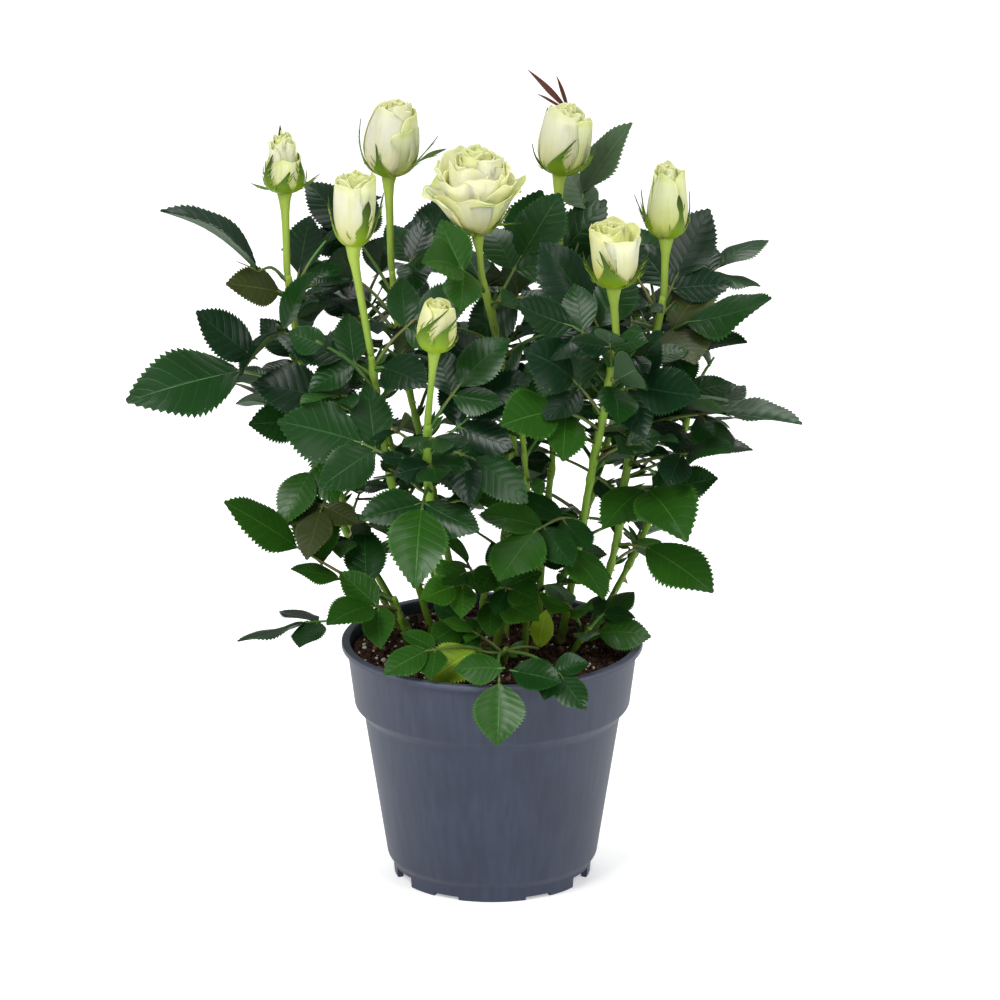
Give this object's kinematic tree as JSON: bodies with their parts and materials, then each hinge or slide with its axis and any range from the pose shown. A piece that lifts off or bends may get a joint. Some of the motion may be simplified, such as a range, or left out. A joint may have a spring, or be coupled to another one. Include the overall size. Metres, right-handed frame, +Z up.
{
  "type": "potted miniature rose bush",
  "caption": "Miniature patio rose in a round plastic nursery pot: bare green canes, dark toothed leaves and cream roses on tall stalks.",
  "frame": {"origin": "centre of the pot's underside, on the surface that the pot stands on", "axes": "+Z up along the pot's axis, -Y towards the front of the bush, +X to the right seen from the front"},
  "size_m": [0.2875, 0.198, 0.3418],
  "materials": {
    "pot": "slate grey satin plastic",
    "soil": "dark moist peat with white perlite",
    "cane": "smooth green bark with a few prickles",
    "leaf": "dark green, satin above",
    "petal": "cream petals with green bases"
  },
  "bodies": {
    "root": {"cane_back": "cane", "cane_back_left": "cane", "cane_back_right": "cane", "cane_centre": "cane", "cane_far_left": "cane", "cane_front_left": "cane", "cane_front_right": "cane", "cane_left": "cane", "cane_low_back": "cane", "cane_low_front": "cane", "cane_low_left": "cane", "cane_low_middle": "cane", "cane_low_right": "cane", "cane_middle": "cane", "cane_rear_left": "cane", "cane_rear_right": "cane", "cane_right": "cane", "cane_side_left": "cane", "cane_side_right": "cane", "leaves_back": "leaf", "leaves_back_left": "leaf", "leaves_back_right": "leaf", "leaves_centre": "leaf", "leaves_far_left": "leaf", "leaves_front_left": "leaf", "leaves_front_right": "leaf", "leaves_left": "leaf", "leaves_low_back": "leaf", "leaves_low_front": "leaf", "leaves_low_left": "leaf", "leaves_low_middle": "leaf", "leaves_low_right": "leaf", "leaves_middle": "leaf", "leaves_rear_left": "leaf", "leaves_rear_right": "leaf", "leaves_right": "leaf", "leaves_side_left": "leaf", "leaves_side_right": "leaf", "pot": "pot", "rose_centre": "petal", "rose_far_left": "petal", "rose_front_left": "petal", "rose_front_right": "petal", "rose_left": "petal", "rose_rear_left": "petal", "rose_rear_right": "petal", "rose_right": "petal", "soil": "soil"}
  },
  "joints": []
}
